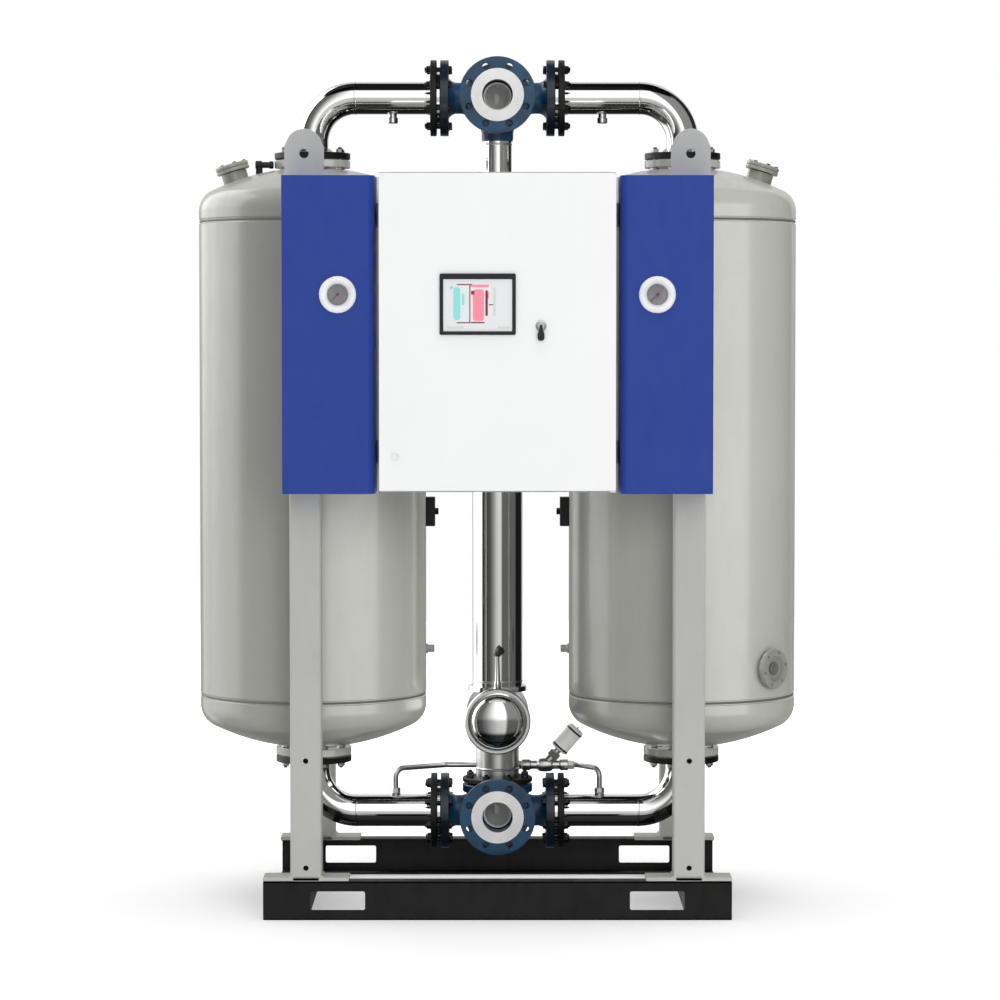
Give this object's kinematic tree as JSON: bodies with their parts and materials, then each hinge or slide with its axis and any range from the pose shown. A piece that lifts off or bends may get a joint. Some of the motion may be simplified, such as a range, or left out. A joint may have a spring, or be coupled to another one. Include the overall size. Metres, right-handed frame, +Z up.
{
  "type": "desiccant air dryer",
  "caption": "Heat-regenerated desiccant compressed-air dryer: towers on a skid, changeover valves, heater column and a control cabinet with a hinged door.",
  "frame": {"origin": "on the floor, at the bottom centre of the dryer's bounding box", "axes": "+Z up; the control cabinet and the two process flanges face -Y; +X to the right of someone who faces the cabinet"},
  "size_m": [1.58, 1.012, 2.222],
  "materials": {
    "grey_paint": "satin",
    "post_paint": "satin",
    "black_paint": "satin",
    "stainless": "polished",
    "valve_paint": "gloss",
    "blue_paint": "satin",
    "white_paint": "satin",
    "dark_plastic": "matte",
    "white_plastic": "gloss",
    "beads": "matte",
    "red_needle": "satin",
    "zinc": "satin"
  },
  "bodies": {
    "frame": {"base_beam_front": "black_paint", "base_beam_rear": "black_paint", "base_rail_left": "black_paint", "base_rail_right": "black_paint", "post_front_left": "post_paint", "post_front_right": "post_paint", "post_rear_left": "post_paint", "post_rear_right": "post_paint", "cabinet_rail_lower": "post_paint", "cabinet_rail_upper": "post_paint", "vessel_left": "grey_paint", "vessel_right": "grey_paint", "desiccant_bed_left": "beads", "desiccant_bed_right": "beads", "bed_screen_left": "zinc", "bed_screen_right": "zinc", "fill_port_cap_left": "grey_paint", "fill_port_cap_right": "grey_paint", "drain_port_cap_left": "grey_paint", "drain_port_cap_right": "grey_paint", "upper_valve_body": "valve_paint", "upper_valve_actuator": "dark_plastic", "lower_valve_body": "valve_paint", "lower_valve_actuator": "dark_plastic", "upper_pipe_left": "stainless", "upper_pipe_right": "stainless", "lower_pipe_left": "stainless", "lower_pipe_right": "stainless", "upper_valve_flange_left": "black_paint", "upper_valve_flange_right": "black_paint", "lower_valve_flange_left": "black_paint", "lower_valve_flange_right": "black_paint", "upper_vessel_flange_left": "black_paint", "upper_vessel_flange_right": "black_paint", "lower_vessel_flange_left": "black_paint", "lower_vessel_flange_right": "black_paint", "heater_header": "stainless", "header_cap": "stainless", "heater_shell": "stainless", "heater_element": "zinc", "regeneration_riser": "stainless", "equalising_tube_left": "stainless", "equalising_tube_right": "stainless", "angle_valve_body": "stainless", "cabinet_shell": "white_paint", "mounting_plate": "zinc", "controller": "dark_plastic", "side_panel_left": "blue_paint", "side_panel_right": "blue_paint", "pressure_gauge_left": "white_plastic", "pressure_gauge_right": "white_plastic"},
    "door": {"cabinet_door": "white_paint", "operator_panel": "dark_plastic"},
    "key": {"key_switch": "dark_plastic"},
    "latch": {"door_latch": "dark_plastic"},
    "upper_rotor": {"upper_valve_rotor": "stainless"},
    "lower_rotor": {"lower_valve_rotor": "stainless"},
    "needle_left": {"gauge_needle_left": "red_needle"},
    "needle_right": {"gauge_needle_right": "red_needle"},
    "angle_stem": {"angle_valve_stem": "stainless"}
  },
  "joints": [
    {"name": "door_hinge", "type": "hinge", "parent": "frame", "child": "door", "pos_m": [0.288, -0.487, 1.5025], "axis": [0, 0, 1], "range_deg": [0, 120]},
    {"name": "key_turn", "type": "hinge", "parent": "door", "child": "key", "pos_m": [0.108, -0.5, 1.518], "axis": [0, -1, 0], "range_deg": [0, 90]},
    {"name": "latch_turn", "type": "hinge", "parent": "door", "child": "latch", "pos_m": [-0.254, -0.48, 1.193], "axis": [0, 1, 0], "range_deg": [0, 90]},
    {"name": "upper_rotor_turn", "type": "hinge", "parent": "frame", "child": "upper_rotor", "pos_m": [0, 0.106, 2.122], "axis": [0, 1, 0], "range_deg": [0, 180]},
    {"name": "lower_rotor_turn", "type": "hinge", "parent": "frame", "child": "lower_rotor", "pos_m": [0, 0.106, 0.228], "axis": [0, -1, 0], "range_deg": [0, 180]},
    {"name": "needle_left_turn", "type": "hinge", "parent": "frame", "child": "needle_left", "pos_m": [-0.397, -0.485, 1.596], "axis": [0, 1, 0], "range_deg": [0, 270], "stiffness_Nm_per_rad": 0.002},
    {"name": "needle_right_turn", "type": "hinge", "parent": "frame", "child": "needle_right", "pos_m": [0.397, -0.485, 1.596], "axis": [0, 1, 0], "range_deg": [0, 270], "stiffness_Nm_per_rad": 0.002},
    {"name": "angle_stem_slide", "type": "slide", "parent": "frame", "child": "angle_stem", "axis": [0.6561, 0, 0.7547], "range_m": [0, 0.014], "stiffness_N_per_m": 1000, "springref_m": -0.004}
  ],
  "couplings": [
    {"joint": "lower_rotor_turn", "follows": "upper_rotor_turn", "ratio": 1}
  ]
}
